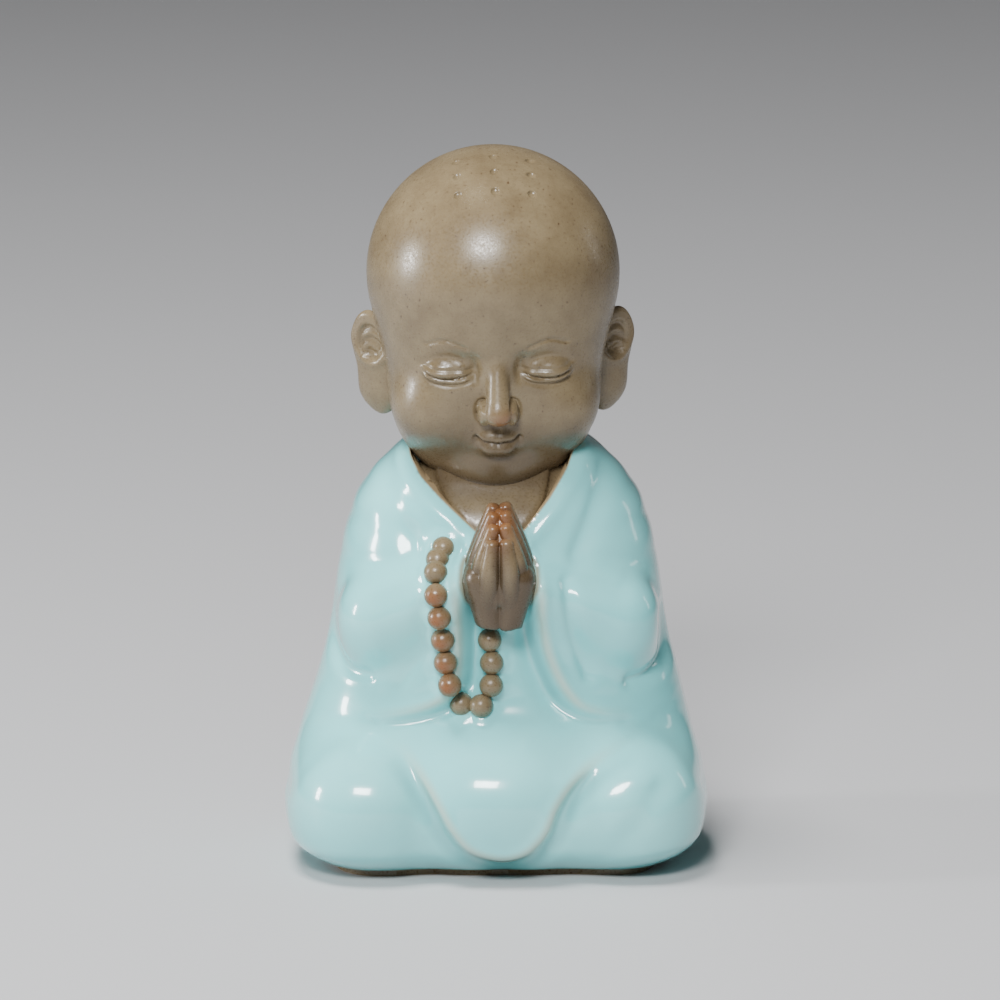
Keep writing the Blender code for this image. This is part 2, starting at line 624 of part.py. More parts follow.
def build():
    """Makes every form of the statue and joins them into one body."""
    for item in list(bpy.data.objects):
        bpy.data.objects.remove(item, do_unlink=True)
    statue_parts = new_collection("baby_monk_statue")
    forms = new_collection("joined_forms")
    glaze = clay_material(GLAZE)
    clay = clay_material(CLAY)

    robe = sphere_mesh("robe", ROBE_FACETS, layered_form(robe_outside, robe_levels, ROBE_CROWDING))
    statue = add_object("monk_statue", robe, glaze, statue_parts)

    foot = sphere_mesh("foot", FOOT_FACETS, layered_form(foot_outside, foot_levels, ROBE_CROWDING))
    chest = sphere_mesh("chest", CHEST_FACETS, layered_form(chest_outside, chest_levels, ROBE_CROWDING))
    combine(statue, add_object("collar_opening", collar_cutter(), glaze, forms), "DIFFERENCE")
    combine(statue, add_object("foot", foot, clay, forms), "UNION")
    combine(statue, add_object("chest", chest, clay, forms), "UNION", "MANIFOLD")
    combine(statue, add_object("head", sphere_mesh("head", HEAD_FACETS, place_head), clay, forms), "UNION")
    for name, side in (("left_ear", -1.0), ("right_ear", 1.0)):
        combine(statue, add_object(name, sphere_mesh(name, EAR_FACETS, place_ear(side)), clay, forms), "UNION")
    combine(statue, add_object("hands", sphere_mesh("hands", HAND_FACETS, place_hands), clay, forms), "UNION")
    for number, route in enumerate(FINGERS, start=1):
        for name, side in ((f"left_finger_{number}", -1.0), (f"right_finger_{number}", 1.0)):
            points = [(HAND_CENTRE[0] + side * x, y, z + side * HAND_SHIFT) for x, y, z in route]
            finger = sphere_mesh(name, FINGER_FACETS, rod(points, FINGER_RADII))
            combine(statue, add_object(name, finger, clay, forms), "UNION")

    for number, centre in enumerate(bead_centres(), start=1):
        bead = ball(f"bead_{number:02d}", BEAD_FACETS, 0.5 * BEAD_DIAMETER, centre)
        combine(statue, add_object(bead.name, bead, clay, forms), "UNION")
    radius, centres = dimple_cutters()
    for number, centre in enumerate(centres, start=1):
        mark = ball(f"dimple_{number}", DIMPLE_FACETS, radius, centre)
        combine(statue, add_object(mark.name, mark, clay, forms), "DIFFERENCE")


build()
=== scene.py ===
"""Looks of the seated child monk: celadon-glazed robe, bare speckled clay head, hands and beads.

The figure is laid out 150 units tall, facing -Y, on the middle of its underside. UNIT turns those units
into metres and comes from the frame, so the piece always stands where the frame's solid stands. Left and
right are as the front view shows them.
"""

import math

import bmesh
import bpy
import numpy as np
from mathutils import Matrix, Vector


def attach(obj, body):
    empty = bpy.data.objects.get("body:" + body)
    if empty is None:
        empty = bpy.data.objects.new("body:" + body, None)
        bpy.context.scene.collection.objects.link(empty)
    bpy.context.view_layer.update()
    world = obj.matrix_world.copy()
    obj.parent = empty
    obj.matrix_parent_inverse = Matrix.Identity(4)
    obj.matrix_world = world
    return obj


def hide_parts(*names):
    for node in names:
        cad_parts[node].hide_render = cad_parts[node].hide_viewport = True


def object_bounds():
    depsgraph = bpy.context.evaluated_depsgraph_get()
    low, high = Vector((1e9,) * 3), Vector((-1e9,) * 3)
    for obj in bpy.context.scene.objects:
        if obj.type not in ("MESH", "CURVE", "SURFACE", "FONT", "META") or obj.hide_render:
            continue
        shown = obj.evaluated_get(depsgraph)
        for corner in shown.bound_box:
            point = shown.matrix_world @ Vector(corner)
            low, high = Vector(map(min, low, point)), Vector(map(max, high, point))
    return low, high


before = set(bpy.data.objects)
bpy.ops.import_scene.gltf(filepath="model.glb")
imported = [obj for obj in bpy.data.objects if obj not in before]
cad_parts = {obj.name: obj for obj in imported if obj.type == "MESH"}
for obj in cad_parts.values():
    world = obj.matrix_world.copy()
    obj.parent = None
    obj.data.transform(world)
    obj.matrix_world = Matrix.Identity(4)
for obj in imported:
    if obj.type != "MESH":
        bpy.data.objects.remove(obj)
cad_low, cad_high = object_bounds()

LAYOUT_HEIGHT = 150.0
UNIT = (cad_high.z - cad_low.z) / LAYOUT_HEIGHT

HEAD_CENTRE = np.array([-0.6, -3.0, 123.7])
HEAD_BOW = math.radians(15.0)
HEAD_TURN = math.radians(2.2)
CRANIUM_RADIUS = 26.3

# The open collar in the front view, from its lowest point round by the left, and how far the chest is below
COLLAR_OUTLINE = ((0.8, 68.2), (-11.4, 78.9), (-15.6, 82.9), (-17.6, 86.0), (-18.8, 90.0), (-19.4, 97.0),
                  (18.0, 97.0), (17.0, 90.0), (14.6, 84.4), (11.0, 78.9), (6.2, 73.2))
COLLAR_STEP = 1.3

ROBE_TOP = 91.5
NECK_HEIGHT = 80.0
NECK_DEPTH = 4.5
WRIST_HEIGHT = 53.2
HAND_SHIFT = 0.11
FOOT_HEIGHT = 1.1
FOOT_INSET = 0.9
HAND_CENTRE = np.array([0.7, -27.6, 66.0])

# Beads: how far apart and how deep they are, as shares of their size
BEAD_DIAMETER = 5.0
BEAD_SPACING = 0.965
BEAD_SINK = 0.38

DIMPLE_DIAMETER = 1.9
DIMPLE_DEPTH = 0.5

# Facets of each form, around and up
ROBE_FACETS = (224, 136)
HEAD_FACETS = (226, 196)
CHEST_FACETS = (110, 60)
EAR_FACETS = (56, 48)
HAND_FACETS = (90, 60)
FINGER_FACETS = (36, 40)
BEAD_FACETS = (20, 13)
DIMPLE_FACETS = (40, 30)
FOOT_RINGS = 7

# How far the facets crowd towards the front
ROBE_CROWDING = 0.45
HEAD_CROWDING = 0.66
HAND_CROWDING = 0.30

# How far the fine robe stays inside the solid's facets
ROBE_TRIM = 0.12

# How far rays are cast, past any form, and how often that stretch is halved
REACH = 60.0
HALVINGS = 24

# The camera looks down by this much, and the beads were laid out in that view
CAMERA_ELEVATION = math.radians(12.0)


# Fields: each takes points as rows of x, y, z and is negative inside its form

def smooth_union(a, b, blend):
    """Joins two fields with a fillet about as wide as blend."""
    share = np.clip(0.5 + 0.5 * (b - a) / blend, 0.0, 1.0)
    return b + (a - b) * share - blend * share * (1.0 - share)


def ellipsoid(points, centre, radii, power=2.0):
    """An ellipsoid, or a boxier one where power is above 2."""
    radii = np.array(radii)
    ratio = np.abs((points - np.array(centre)) / radii)
    return ((ratio ** power).sum(axis=1) ** (1.0 / power) - 1.0) * radii.min()


def limb(points, start, end, start_radius, end_radius):
    """A tapered rod with round ends."""
    start = np.array(start)
    axis = np.array(end) - start
    along = np.clip((points - start) @ axis / (axis @ axis), 0.0, 1.0)
    away = np.linalg.norm(points - start - along[:, None] * axis, axis=1)
    return away - (start_radius + (end_radius - start_radius) * along)


def step(value, width):
    """Rises smoothly from 0 to 1 as value goes from -width to width."""
    share = np.clip(0.5 + 0.5 * value / width, 0.0, 1.0)
    return share * share * (3.0 - 2.0 * share)


def bump(distance, width):
    """A soft ridge, 1 where distance is 0."""
    return np.exp(-(distance / width) ** 2)


def profile(at, places, values):
    """A smooth curve through a few values, level with its end values outside them."""
    places = np.array(places)
    values = np.array(values)
    slopes = np.gradient(values, places)
    at = np.clip(at, places[0], places[-1])
    index = np.clip(np.searchsorted(places, at) - 1, 0, len(places) - 2)
    gap = places[index + 1] - places[index]
    share = (at - places[index]) / gap
    low = values[index] + slopes[index] * gap * share
    high = values[index + 1] - slopes[index + 1] * gap * (1.0 - share)
    weight = share * share * (3.0 - 2.0 * share)
    return low + (high - low) * weight


def smooth_path(points, steps=8):
    """A curve through a few points, as a fine polyline."""
    points = np.array(points)
    padded = np.vstack([2 * points[0] - points[1], points, 2 * points[-1] - points[-2]])
    share = np.linspace(0.0, 1.0, steps, endpoint=False)[:, None]
    pieces = []
    for before, start, end, after in zip(padded, padded[1:], padded[2:], padded[3:]):
        pieces.append(0.5 * (2 * start + (end - before) * share
                             + (2 * before - 5 * start + 4 * end - after) * share ** 2
                             + (3 * start - before - 3 * end + after) * share ** 3))
    return np.vstack(pieces + [points[-1:]])


def beside(x, z, path):
    """Distance from a path in the front view, above zero on its right hand."""
    path = smooth_path(path)
    best = np.full(x.shape, np.inf)
    side = np.ones(x.shape)
    for start, end in zip(path[:-1], path[1:]):
        run = end - start
        rel_x = x - start[0]
        rel_z = z - start[1]
        share = np.clip((rel_x * run[0] + rel_z * run[1]) / (run @ run), 0.0, 1.0)
        away = np.hypot(rel_x - share * run[0], rel_z - share * run[1])
        nearer = away < best
        best = np.where(nearer, away, best)
        side = np.where(nearer, np.sign(rel_x * run[1] - rel_z * run[0]), side)
    return best * np.where(side == 0, 1.0, side)


def cast(origins, directions, field):
    """Where rays that start inside a form leave it."""
    near = np.zeros(len(origins))
    far = np.full(len(origins), REACH)
    for _ in range(HALVINGS):
        middle = 0.5 * (near + far)
        inside = field(origins + middle[:, None] * directions) < 0.0
        near = np.where(inside, middle, near)
        far = np.where(inside, far, middle)
    return origins + near[:, None] * directions


# The robe

# Half widths and depths by height, how boxy they are, and how far the figure leans above the lap
ROBE_HEIGHTS = (0, 8, 16, 24, 32, 40, 48, 56, 64, 72, 79, 84, 88, 92)
ROBE_HALF_WIDTHS = (37.6, 41.8, 43.0, 41.7, 39.6, 37.4, 35.5, 34.3, 33.0, 31.0, 27.7, 23.4, 18.9, 13.3)
ROBE_FRONTS = (31, 33, 33, 30, 26.4, 25.2, 25.0, 25.0, 24.2, 22.4, 20.0, 17.4, 14.4, 10.5)
ROBE_BACKS = (30, 31.5, 32.0, 31.4, 30.2, 29.0, 27.5, 26.2, 24.6, 23.0, 20.6, 18.2, 15.6, 12.0)
ROBE_POWER = 2.45
ROBE_LEAN = 0.5
LAP_HEIGHT = 32.0

# Edges and creases of the cloth, seen from the front
LEFT_HEM = ((-8.2, 66.0), (-7.4, 58.8), (-7.0, 48.0), (-7.9, 40.5), (-11.7, 35.9), (-21.0, 33.0),
            (-32.0, 32.0))
RIGHT_HEM = ((8.4, 68.0), (8.5, 61.5), (8.9, 52.5), (11.1, 44.0), (16.0, 36.0), (22.0, 33.3), (32.0, 32.4))
DRAPE_EDGE = ((-25.0, 32.0), (-20.4, 28.4), (-15.9, 22.6), (-12.3, 16.8), (-9.2, 11.4), (-5.2, 7.2),
              (1.2, 5.2), (6.6, 6.8), (10.7, 11.2), (13.0, 16.6), (16.4, 21.2), (20.8, 25.2), (26.0, 28.4))
LEFT_KNEE_CREASE = ((-44.5, 16.5), (-40.5, 23.0), (-34.5, 28.0), (-26.0, 31.0))
RIGHT_KNEE_CREASE = ((27.0, 31.6), (35.5, 28.8), (40.0, 24.6), (44.5, 17.5))
LEFT_ELBOW = ((-35.5, 56.0), (-34.4, 47.0), (-31.5, 42.4), (-27.0, 41.4))
RIGHT_ELBOW = ((36.0, 53.0), (35.8, 44.5), (32.5, 41.0), (28.5, 40.2))

# Folds and creases: their run in the front view, how far they stand out, and how wide they are
ROBE_FOLDS = (
    (LEFT_KNEE_CREASE, -0.8, 1.4),
    (RIGHT_KNEE_CREASE, -0.8, 1.4),
    (LEFT_ELBOW, -1.3, 1.5),
    (RIGHT_ELBOW, -1.7, 1.6),
    (((-24.5, 61.0), (-15.0, 65.0)), 0.8, 2.0),
    (((8.2, 67.6), (16.0, 65.6), (25.0, 62.6)), 0.7, 1.8),
    (((8.6, 65.4), (16.0, 63.2), (26.0, 60.0)), -0.8, 1.6),
    (((15.0, 62.0), (16.4, 52.0), (19.5, 42.0)), -1.3, 1.5),
    (((-14.5, 58.0), (-16.6, 47.0), (-20.0, 40.0)), -0.7, 1.8),
    (((23.6, 84.0), (20.4, 75.0), (16.8, 67.0)), -1.3, 2.2),
    (((-24.0, 83.0), (-21.0, 74.0), (-17.0, 66.0)), -0.8, 2.4),
    (((34.0, 20.0), (29.0, 12.0), (23.0, 6.0)), -0.7, 2.6),
    (((14.0, 22.0), (22.0, 24.4), (31.0, 22.4)), 0.6, 2.0),
)


def robe_field(points):
    """The smooth mass of the robe: torso, upper arms, knees and lap."""
    points = points - np.outer(ROBE_LEAN * step(points[:, 2] - LAP_HEIGHT, 8.0), (1.0, 0.0, 0.0))
    x, y, z = points.T
    half_width = profile(z, ROBE_HEIGHTS, ROBE_HALF_WIDTHS)
    front = profile(z, ROBE_HEIGHTS, ROBE_FRONTS)
    back = profile(z, ROBE_HEIGHTS, ROBE_BACKS)
    depth = np.where(y < 0.0, front, back)
    ratio = (np.abs(x) / half_width) ** ROBE_POWER + (np.abs(y) / depth) ** ROBE_POWER
    ratio = ratio ** (1.0 / ROBE_POWER)
    mass = (ratio - 1.0) * np.minimum(half_width, depth)
    for side, forward in ((-1.0, 0.7), (1.0, -0.5)):
        knee = ellipsoid(points, (26.6 * side, -13.0 - forward, 13.6), (17.4, 23.6, 16.6), 2.3)
        mass = smooth_union(mass, knee, 3.5)
        elbow = ellipsoid(points, (26.0 * side, -12.0, 50.0), (7.6, 11.0, 9.0))
        mass = smooth_union(mass, elbow, 3.0)
        forearm = limb(points, (24.0 * side, -17.0, 54.0), (9.0 * side, -22.0, 59.5), 8.6, 6.6)
        mass = smooth_union(mass, forearm, 4.0)
    lap = ellipsoid(points, (0.5, -13.0, 15.0), (24.0, 24.4, 18.0), 2.2)
    return smooth_union(mass, lap, 3.0)


def belly_gap_at(x, z):
    """Distance inside the gap between the two sleeve hems, seen from the front."""
    return np.minimum(-beside(x, z, LEFT_HEM), beside(x, z, RIGHT_HEM))


def robe_relief(points):
    """How far the carving stands out of the robe's mass, or sinks into it."""
    x, y, z = points.T
    front = step(-y - 4.0, 6.0)
    belly_gap = belly_gap_at(x, z)
    above_lap = step(z - 33.0, 5.0) * step(25.0 - np.abs(x), 5.0)
    under_hands = step(60.0 - z, 5.0)
    depth = 1.7 + 2.6 * bump(belly_gap - 1.8, 3.0)
    relief = -depth * step(belly_gap - 0.5, 1.3) * above_lap * under_hands
    relief += 0.75 * bump(belly_gap + 1.3, 1.5) * above_lap * step(66.0 - z, 4.0)
    below_drape = beside(x, z, DRAPE_EDGE)
    low = step(27.0 - z, 7.0)
    relief += 0.9 * step(-below_drape, 1.2) * step(30.0 - z, 8.0)
    relief += 0.8 * bump(below_drape + 1.0, 1.6) * low * step(19.0 - z, 7.0)
    relief -= 1.3 * bump(below_drape - 2.2, 2.2) * low
    for route, height, width in ROBE_FOLDS:
        relief += height * bump(beside(x, z, route), width)
    relief -= 1.1 * bump(x + 18.0, 2.6) * bump(z - 70.0, 4.0)
    relief += 0.7 * bump(inside_collar(points) + 2.4, 1.6) * step(z - 66.0, 3.0)
    return relief * front


def inside_collar(points):
    """Distance inside the open V of the robe's neck, seen from the front."""
    x, y, z = points.T
    inside = np.full(len(x), np.inf)
    for start, end in zip(COLLAR_OUTLINE, COLLAR_OUTLINE[1:] + COLLAR_OUTLINE[:1]):
        run = np.array(end) - np.array(start)
        away = ((x - start[0]) * run[1] - (z - start[1]) * run[0]) / np.hypot(*run)
        inside = np.minimum(inside, away)
    return inside


def robe_skin(x_shares, y_shares, heights):
    """Points on the robe's outside, for directions round the axis and heights."""
    directions = np.column_stack([x_shares, y_shares, np.zeros(len(heights))])
    origins = np.column_stack([np.zeros(len(heights)), np.zeros(len(heights)), heights])
    return cast(origins, directions, robe_field), directions


def crowd(angles, amount):
    """Moves angles from the front closer to it, so that facets crowd there."""
    return angles - amount * np.sin(angles)


def sphere_mesh(name, facets, place):
    """A UV sphere whose vertices place() moves: it takes angles from the front and rows from the base."""
    around, up = facets
    shape = bmesh.new()
    bmesh.ops.create_uvsphere(shape, u_segments=around, v_segments=up, radius=1.0)
    verts = list(shape.verts)
    unit = np.array([vert.co for vert in verts], dtype=float)
    angles = np.arctan2(unit[:, 0], -unit[:, 1])
    rows = np.rint(np.arccos(np.clip(-unit[:, 2], -1.0, 1.0)) / math.pi * up).astype(int)
    for vert, spot in zip(verts, place(angles, rows, up) * UNIT):
        vert.co = spot
    bmesh.ops.recalc_face_normals(shape, faces=list(shape.faces))
    if shape.calc_volume(signed=True) < 0.0:
        bmesh.ops.reverse_faces(shape, faces=list(shape.faces))
    mesh = bpy.data.meshes.new(name)
    shape.to_mesh(mesh)
    shape.free()
    return mesh


def layered_form(skin, levels):
    """Places rows on a form by level: each level is a height and how wide it is drawn."""
    def place(angles, rows, up):
        turned = crowd(angles, ROBE_CROWDING)
        drawn = np.array([levels(row / up) for row in range(up + 1)])
        spots = skin(np.sin(turned), -np.cos(turned), drawn[rows, 0])
        spots[:, :2] *= drawn[rows, 1][:, None]
        return spots
    return place


def robe_levels(share):
    """The robe from the middle of its underside, out over the foot and up to the neck."""
    flat, top = 0.03, 0.985
    if share < flat:
        return FOOT_HEIGHT, 0.985 * share / flat
    if share > top:
        return ROBE_TOP, 0.95 * (1.0 - share) / (1.0 - top)
    climb = (share - flat) / (top - flat)
    return FOOT_HEIGHT + (ROBE_TOP - FOOT_HEIGHT) * (climb * 0.85 + 0.15 * climb ** 2), 1.0


# The robe draws in under the knees, is eased at the collar and climbs round the clay
TUCK_DEPTH = 5.0
TUCK_HEIGHT = 7.0
COLLAR_EASE = 0.4
MENISCUS_HEIGHT = 0.9


def robe_outside(x_shares, y_shares, heights):
    """The carved robe, drawn in under the knees, eased at the collar, trimmed to the solid's facets."""
    spots, directions = robe_skin(x_shares, y_shares, heights)
    tuck = TUCK_DEPTH * (1.0 - np.clip((heights - FOOT_HEIGHT) / TUCK_HEIGHT, 0.0, 1.0)) ** 2.2
    front = step(-spots[:, 1] - 2.0, 4.0)
    eased = COLLAR_EASE * bump(inside_collar(spots), 1.1) * front
    menisci = MENISCUS_HEIGHT * bump(clay_gap_at(spots[:, 0], spots[:, 2]), 1.3) * front
    return spots + directions * (robe_relief(spots) + menisci - tuck - eased - ROBE_TRIM)[:, None]


# Half the hands' width in the front view, by height
HAND_HEIGHTS = (53.0, 58.0, 64.0, 70.0, 76.0)
HAND_HALF_WIDTHS = (4.1, 5.9, 7.8, 5.6, 3.4)


def clay_gap_at(x, z):
    """Distance from the outlines of the beads and the hands, seen square to the front."""
    gap = np.abs(x - HAND_CENTRE[0]) - profile(z, HAND_HEIGHTS, HAND_HALF_WIDTHS)
    gap = np.maximum(gap, np.abs(z - 62.0) - 8.5)
    for centre in BEAD_CENTRES:
        away = np.hypot(x - centre[0], z - centre[2]) - 0.5 * BEAD_DIAMETER
        gap = np.minimum(gap, away + 0.2)
    return gap


def foot_outside(x_shares, y_shares, heights):
    """The bare ring under the glaze, set in from the robe's lowest edge."""
    spots = robe_outside(x_shares, y_shares, np.full(len(heights), FOOT_HEIGHT))
    spots -= np.column_stack([x_shares, y_shares, np.zeros(len(heights))]) * FOOT_INSET
    spots[:, 2] = heights
    return spots


def foot_levels(share):
    """A thin slab that reaches up inside the robe."""
    if share < 0.5:
        return 0.0, min(1.0, share / 0.4)
    return 3.0 * FOOT_HEIGHT, min(1.0, (1.0 - share) / 0.4)


def chest_outside(x_shares, y_shares, heights):
    """Chest a collar step under the robe's mass, deeper up at the neck and where the robe covers it."""
    spots, directions = robe_skin(x_shares, y_shares, np.minimum(heights, ROBE_TOP))
    spots[:, 2] = heights
    sunk = NECK_DEPTH * step(heights - NECK_HEIGHT, 8.0) + 3.0 * step(-1.5 - inside_collar(spots), 1.5)
    return spots - directions * (COLLAR_STEP + sunk)[:, None]


# The chest runs from inside the belly up into the jaw
CHEST_LOW = 62.0
CHEST_HIGH = 93.0


def chest_levels(share):
    """From inside the belly up into the jaw."""
    cap = 0.12
    if share < cap:
        return CHEST_LOW, share / cap
    if share > 1.0 - cap:
        return CHEST_HIGH, (1.0 - share) / cap * 0.8
    climb = (share - cap) / (1.0 - 2.0 * cap)
    return CHEST_LOW + (CHEST_HIGH - CHEST_LOW) * climb, 1.0 - 0.2 * step(share - 0.82, 0.08)


# The head, laid out in its own frame: origin in the middle of the cranium, face to -Y

HEAD_MIDDLE = (0.0, -4.0, -13.0)

# Eyes: how far out they are, and half their width
EYE_OUT = 10.5
EYE_REACH = 4.7
LID_TOP = ((6.0, -10.8), (7.8, -8.9), (10.5, -8.1), (13.2, -8.8), (15.2, -10.6))
BROW = ((6.6, -5.5), (10.9, -4.3), (14.6, -5.9))

# Lines across a closed eye: height, how far the middle hangs, how far they stand out, and how wide they are
LID_LINES = ((-10.8, 0.1, -0.34, 0.32), (-11.5, 0.5, 0.20, 0.45), (-12.0, 1.0, -0.70, 0.34),
             (-12.7, 1.0, 0.24, 0.42), (-13.5, 1.1, -0.42, 0.5))
MOUTH = ((0.0, -27.2), (1.2, -26.8), (2.8, -26.7), (4.6, -26.1))
WING_CREASE = ((2.9, -17.2), (4.0, -17.8), (4.5, -19.5), (4.3, -21.3), (3.5, -22.4))


def head_axes():
    """The bowed and slightly turned head's own directions, as rows."""
    bow = np.array([[1.0, 0.0, 0.0],
                    [0.0, math.cos(HEAD_BOW), math.sin(HEAD_BOW)],
                    [0.0, -math.sin(HEAD_BOW), math.cos(HEAD_BOW)]])
    turn = np.array([[math.cos(HEAD_TURN), math.sin(HEAD_TURN), 0.0],
                     [-math.sin(HEAD_TURN), math.cos(HEAD_TURN), 0.0],
                     [0.0, 0.0, 1.0]])
    return turn @ bow


def to_head(points):
    """Turns points in the figure's frame into the head's frame."""
    return (points - HEAD_CENTRE) @ head_axes().T


def from_head(points):
    """Turns points in the head's frame into the figure's frame."""
    return points @ head_axes() + HEAD_CENTRE


def head_field(points):
    """Cranium, full cheeks, closed eyes, nose, lips and chin."""
    skull = ellipsoid(points, (0, 0, 0), (CRANIUM_RADIUS, CRANIUM_RADIUS, CRANIUM_RADIUS))
    face = ellipsoid(points, (0, -5.2, -19.2), (22.4, 20.4, 24.8), 2.35)
    shape = smooth_union(skull, face, 5.0)
    for side in (-1.0, 1.0):
        cheek = ellipsoid(points, (11.5 * side, -16.5, -22.5), (9.0, 8.6, 8.6))
        shape = smooth_union(shape, cheek, 4.0)
        eye = ellipsoid(points, (EYE_OUT * side, -20.9, -11.9), (5.1, 4.1, 3.3))
        shape = smooth_union(shape, eye, 0.5)
        wing = ellipsoid(points, (2.8 * side, -26.7, -19.9), (1.6, 2.6, 2.5))
        shape = smooth_union(shape, wing, 0.4)
    bridge = limb(points, (0, -23.6, -8.0), (0, -28.3, -17.6), 1.9, 2.5)
    shape = smooth_union(shape, bridge, 1.2)
    tip = ellipsoid(points, (0, -28.4, -18.9), (3.2, 3.2, 2.7))
    shape = smooth_union(shape, tip, 0.8)
    muzzle = ellipsoid(points, (0, -22.5, -26.6), (5.2, 4.4, 4.4))
    shape = smooth_union(shape, muzzle, 2.5)
    chin = ellipsoid(points, (0, -19.4, -34.4), (8.5, 5.3, 5.3))
    shape = smooth_union(shape, chin, 3.0)
    upper_lip = ellipsoid(points, (0, -25.6, -25.8), (4.0, 1.7, 1.2))
    lower_lip = ellipsoid(points, (0, -24.9, -28.2), (3.6, 2.55, 1.6), 2.4)
    shape = smooth_union(shape, upper_lip, 0.7)
    return smooth_union(shape, lower_lip, 0.4)


def head_relief(points):
    """Sockets, lids, brows and mouth."""
    x, y, z = points.T
    front = step(-y - 6.0, 4.0)
    side_x = np.abs(x)
    relief = -1.0 * bump(side_x - 7.6, 4.2) * bump(z + 8.2, 2.0)
    relief -= 1.9 * bump(side_x - 4.9, 1.6) * bump(z + 11.0, 2.8)
    relief -= 0.34 * bump(beside(side_x, z, LID_TOP), 0.85)
    eye_x = side_x - EYE_OUT
    arch = 1.0 - (eye_x / EYE_REACH) ** 2
    within = step(EYE_REACH - np.abs(eye_x), 0.8)
    for level, hang, height, width in LID_LINES:
        relief += height * bump(z - level + hang * arch, width) * within
    relief -= 0.5 * bump(beside(side_x, z, BROW), 0.36)
    relief -= 1.0 * bump(beside(side_x, z, MOUTH), 0.36)
    relief -= 0.6 * bump(side_x - 4.5, 0.7) * bump(z + 26.4, 1.2)
    relief -= 0.6 * bump(z + 30.9, 0.9) * bump(side_x, 3.0)
    relief -= 0.4 * bump(side_x, 0.8) * bump(z + 24.0, 1.2)
    relief -= 0.5 * bump(beside(side_x, z, WING_CREASE), 0.36)
    relief -= 0.3 * bump(beside(side_x, z, ((2.7, -17.8), (2.7, -21.2))), 0.5)
    return relief * front


def place_head(angles, rows, up):
    """Rows of the head, closer together over the face."""
    turned = crowd(angles, HEAD_CROWDING)
    share = rows / up
    polar = math.pi * (share + 0.055 * np.sin(2.0 * math.pi * share))
    level = np.sin(polar)
    directions = np.column_stack([np.sin(turned) * level, -np.cos(turned) * level, -np.cos(polar)])
    origins = np.tile(HEAD_MIDDLE, (len(angles), 1))
    spots = cast(origins, directions, head_field)
    return from_head(spots + directions * head_relief(spots)[:, None])


# Rows of dimples by their angle above the brow, and how far apart they are in a row
DIMPLE_ROWS = (math.radians(64.0), math.radians(76.5), math.radians(89.0))
DIMPLE_PITCH = 7.6


def dimple_cutters():
    """Spheres that each press one of nine round marks into the crown, in three rows."""
    half_width = 0.5 * DIMPLE_DIAMETER
    radius = (half_width ** 2 + DIMPLE_DEPTH ** 2) / (2.0 * DIMPLE_DEPTH)
    centres = []
    for turn in DIMPLE_ROWS:
        for column in (-DIMPLE_PITCH, 0.0, DIMPLE_PITCH):
            reach = math.sqrt(CRANIUM_RADIUS ** 2 - column ** 2)
            crown = np.array([column, -reach * math.cos(turn), reach * math.sin(turn)])
            centres.append(crown * (CRANIUM_RADIUS + radius - DIMPLE_DEPTH) / CRANIUM_RADIUS)
    return radius, from_head(np.array(centres))


# Ears: their middle, their size, how thick they are, and how far they flare from the head
EAR_CENTRE = (24.5, -0.4, -20.4)
EAR_HALF_HEIGHT = 11.4
EAR_HALF_WIDTH = 4.9
EAR_FRONT = 1.9
EAR_BACK = 1.7
EAR_FLARE = math.radians(56.0)


def place_ear(side):
    """A long ear flared away from the head: rolled rim, two crescents in the hollow, full lobe."""
    def place(angles, rows, up):
        polar = math.pi * rows / up
        along = -np.cos(polar)
        across = np.sin(polar) * np.sin(angles)
        outward = -np.sin(polar) * np.cos(angles)
        width = EAR_HALF_WIDTH + 0.9 * step(along - 0.1, 0.5)
        width += 1.3 * bump(along + 0.78, 0.3) - 0.4 * bump(along + 0.1, 0.25)
        leaf_x = across * width
        leaf_z = along * EAR_HALF_HEIGHT
        front = step(-outward, 0.2)
        rim = bump(np.hypot(leaf_x / width, (leaf_z - 5.6) / 6.2) - 0.84, 0.13) * step(leaf_z + 2.0, 2.5)
        well = step(0.66 - np.hypot(leaf_x / 4.1, (leaf_z - 4.9) / 5.6), 0.10)
        upper = np.hypot(leaf_x + 0.3, leaf_z - 4.2)
        lower = np.hypot(leaf_x - 0.2, leaf_z - 2.1)
        crescents = bump(upper - 2.5, 0.55) * step(leaf_z - 4.6, 1.0)
        crescents += bump(lower - 2.0, 0.5) * step(leaf_z - 2.6, 0.9)
        carving = 0.55 * rim - 1.5 * well + 1.1 * crescents * well
        lobe = 0.9 * bump(leaf_z + 7.2, 4.2)
        shell = -outward * (EAR_FRONT + lobe) + front * carving * np.sin(polar)
        thick = np.where(outward < 0.0, shell, -outward * EAR_BACK)
        x = leaf_x * math.sin(EAR_FLARE) + thick * math.cos(EAR_FLARE)
        y = leaf_x * math.cos(EAR_FLARE) - thick * math.sin(EAR_FLARE)
        spots = np.column_stack([x + 0.09 * leaf_z, y + 0.10 * leaf_z, leaf_z]) + np.array(EAR_CENTRE)
        spots[:, 0] *= side
        return from_head(spots)
    return place


# Hands and beads

# The run of the string of beads, seen from the front
BEAD_STRING = ((-10.8, 69.0), (-12.2, 66.4), (-12.5, 62.0), (-11.8, 56.5), (-11.0, 50.2), (-10.3, 44.6),
               (-9.2, 39.8), (-7.5, 36.4), (-5.4, 35.2), (-3.0, 36.2), (-1.0, 40.4), (-0.9, 45.3),
               (-1.4, 51.0))
BEAD_COUNT = 13
TUCKED_BEADS = 2
TUCKED_SPACING = 2.55
VIEW_SLOPE = math.tan(CAMERA_ELEVATION)

# Where rays for the hands start, and how they spread sideways, forward and up
HAND_MIDDLE = HAND_CENTRE - np.array([0.0, 0.0, 3.0])
HAND_SPREAD = (7.0, 6.0, 11.0)

